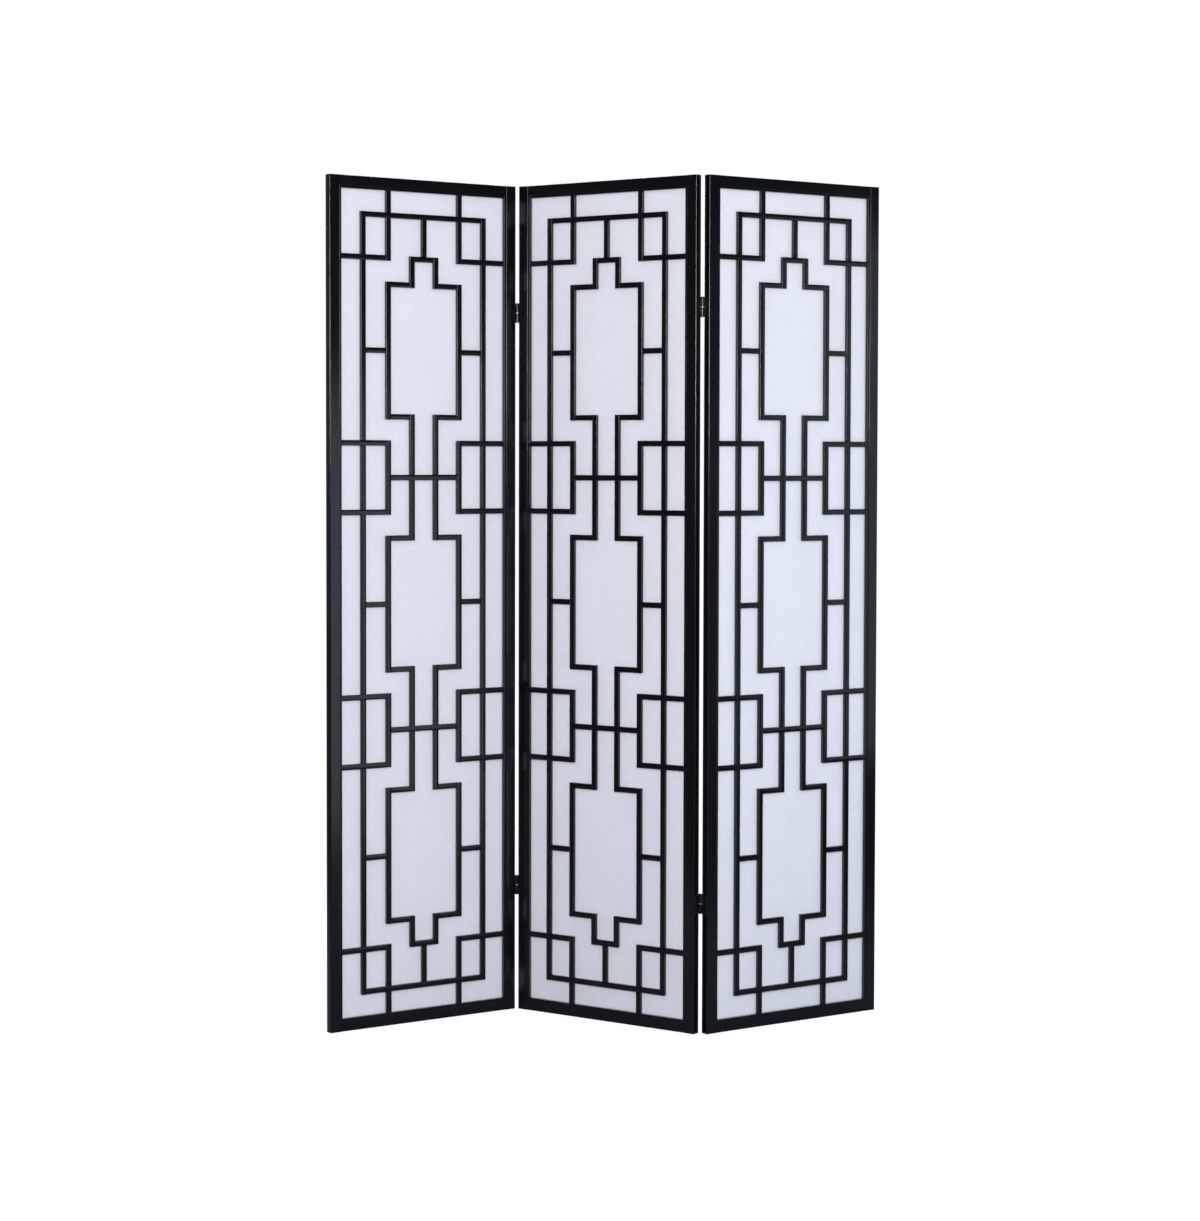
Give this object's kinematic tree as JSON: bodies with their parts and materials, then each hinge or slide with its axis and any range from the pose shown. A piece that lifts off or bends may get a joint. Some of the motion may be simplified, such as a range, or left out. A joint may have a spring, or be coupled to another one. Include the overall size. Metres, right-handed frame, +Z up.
{
  "type": "folding room divider",
  "caption": "Folding room divider: hinged lacquered frames with rice paper and stepped fretwork, standing in a zigzag to screen off part of a room.",
  "frame": {"origin": "on the floor under the middle of the centre panel, at mid depth", "axes": "+Z up, +X to the right along the screen, -Y towards the front, from which the left junction lies at the back and the right junction at the front"},
  "size_m": [1.1676, 0.2598, 1.784],
  "materials": {
    "black_lacquer": "satin black lacquer",
    "rice_paper": "matt white rice paper with fine fibres",
    "hinge_black": "black enamelled steel",
    "bright_steel": "plain bright steel",
    "bare_wood": "bare turned dowel"
  },
  "bodies": {
    "centre_panel": {"centre_panel_bottom_rail": "black_lacquer", "centre_panel_front_beads": "black_lacquer", "centre_panel_front_border_lattice": "black_lacquer", "centre_panel_front_bracket_lattice": "black_lacquer", "centre_panel_front_medallion_lattice": "black_lacquer", "centre_panel_hinge_screws": "hinge_black", "centre_panel_left_stile": "black_lacquer", "centre_panel_paper": "rice_paper", "centre_panel_rail_dowels": "bare_wood", "centre_panel_rear_beads": "black_lacquer", "centre_panel_rear_border_lattice": "black_lacquer", "centre_panel_rear_bracket_lattice": "black_lacquer", "centre_panel_rear_medallion_lattice": "black_lacquer", "centre_panel_right_stile": "black_lacquer", "centre_panel_top_rail": "black_lacquer", "left_bottom_hinge_upper_flag": "hinge_black", "left_top_hinge_upper_flag": "hinge_black", "right_bottom_hinge_upper_flag": "hinge_black", "right_top_hinge_upper_flag": "hinge_black"},
    "left_panel": {"left_bottom_hinge_lower_flag": "hinge_black", "left_hinge_pins": "bright_steel", "left_hinge_washers": "bright_steel", "left_panel_bottom_rail": "black_lacquer", "left_panel_front_beads": "black_lacquer", "left_panel_front_border_lattice": "black_lacquer", "left_panel_front_bracket_lattice": "black_lacquer", "left_panel_front_medallion_lattice": "black_lacquer", "left_panel_hinge_screws": "hinge_black", "left_panel_left_stile": "black_lacquer", "left_panel_paper": "rice_paper", "left_panel_rail_dowels": "bare_wood", "left_panel_rear_beads": "black_lacquer", "left_panel_rear_border_lattice": "black_lacquer", "left_panel_rear_bracket_lattice": "black_lacquer", "left_panel_rear_medallion_lattice": "black_lacquer", "left_panel_right_stile": "black_lacquer", "left_panel_top_rail": "black_lacquer", "left_top_hinge_lower_flag": "hinge_black"},
    "right_panel": {"right_bottom_hinge_lower_flag": "hinge_black", "right_hinge_pins": "bright_steel", "right_hinge_washers": "bright_steel", "right_panel_bottom_rail": "black_lacquer", "right_panel_front_beads": "black_lacquer", "right_panel_front_border_lattice": "black_lacquer", "right_panel_front_bracket_lattice": "black_lacquer", "right_panel_front_medallion_lattice": "black_lacquer", "right_panel_hinge_screws": "hinge_black", "right_panel_left_stile": "black_lacquer", "right_panel_paper": "rice_paper", "right_panel_rail_dowels": "bare_wood", "right_panel_rear_beads": "black_lacquer", "right_panel_rear_border_lattice": "black_lacquer", "right_panel_rear_bracket_lattice": "black_lacquer", "right_panel_rear_medallion_lattice": "black_lacquer", "right_panel_right_stile": "black_lacquer", "right_panel_top_rail": "black_lacquer", "right_top_hinge_lower_flag": "hinge_black"}
  },
  "joints": [
    {"name": "left_fold", "type": "hinge", "parent": "centre_panel", "child": "left_panel", "pos_m": [-0.19582, 0.11525, 0], "axis": [0, 0, 1], "range_deg": [-74, 113]},
    {"name": "right_fold", "type": "hinge", "parent": "centre_panel", "child": "right_panel", "pos_m": [0.19582, -0.11525, 0], "axis": [0, 0, 1], "range_deg": [-74, 113]}
  ]
}
